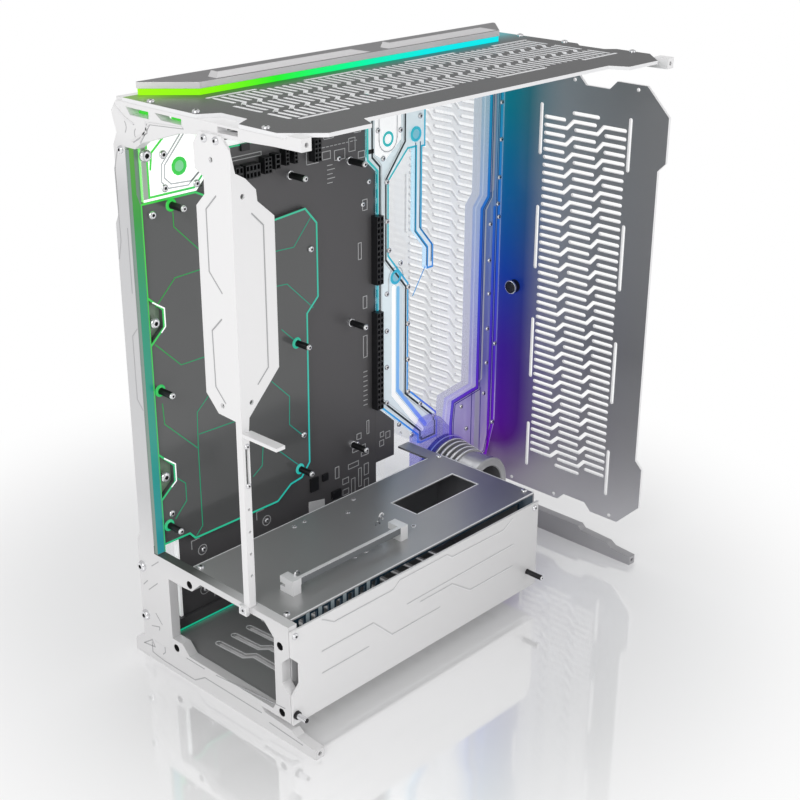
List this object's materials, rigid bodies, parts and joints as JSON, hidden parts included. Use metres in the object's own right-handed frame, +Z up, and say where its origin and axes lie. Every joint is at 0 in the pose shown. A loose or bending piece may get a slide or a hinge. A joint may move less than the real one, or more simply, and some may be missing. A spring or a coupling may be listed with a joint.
{
  "type": "computer case",
  "caption": "Open-frame tower computer case with louvred metal panels, a clear channel-plate wall lit along its edges, and a power supply tunnel.",
  "frame": {"origin": "middle of the underside of the feet, centred on the overall length and width", "axes": "+Z up, +X towards the front frame, -Y towards the open window side"},
  "size_m": [0.455, 0.3634, 0.5235],
  "materials": {
    "white_metal": "satin",
    "grey_metal": "brushed, anodised",
    "steel": "bright",
    "clear_acrylic": "polished clear acrylic",
    "smoked_acrylic": "polished smoked acrylic",
    "lit_acrylic": "frosted, lit from inside",
    "black_board": "matte",
    "black_plastic": "satin",
    "seal_rubber": "matte"
  },
  "bodies": {
    "root": {"rear_frame": "white_metal", "front_frame": "white_metal", "rear_foot": "white_metal", "front_foot": "white_metal", "upper_rail": "white_metal", "lower_rail": "white_metal", "front_panel": "grey_metal", "top_panel": "grey_metal", "back_chamber_panel": "white_metal", "ridge_light_strip": "lit_acrylic", "ridge_cap": "white_metal", "wall_sheet": "clear_acrylic", "cable_board": "black_board", "board_standoffs": "steel", "board_header_upper": "black_plastic", "board_header_lower": "black_plastic", "board_top_headers": "black_plastic", "board_cover": "smoked_acrylic", "edge_light_bar": "lit_acrylic", "corner_reservoir": "clear_acrylic", "corner_port_ring": "steel", "channel_plate": "clear_acrylic", "channel_seal": "seal_rubber", "channel_port_rings": "steel", "front_strip": "clear_acrylic", "front_strip_backing": "clear_acrylic", "front_strip_seal": "seal_rubber", "pump_mount": "black_plastic", "pump_body": "black_plastic", "pump_collar": "black_plastic", "pump_core": "black_plastic", "slot_bracket": "white_metal", "card_support": "white_metal", "stem_clamp": "white_metal", "shelf_plate": "grey_metal", "tunnel_side": "grey_metal", "tunnel_floor": "grey_metal", "tunnel_end": "grey_metal", "side_cover": "white_metal", "cover_spacers": "steel", "glass_post_rear": "white_metal", "glass_post_front": "grey_metal", "riser_rail": "grey_metal", "thumb_knob": "black_plastic", "top_panel_screws": "steel", "shelf_screws": "steel", "cover_screws": "steel", "frame_screws": "steel", "bracket_screws": "steel", "support_screws": "steel"}
  },
  "joints": []
}
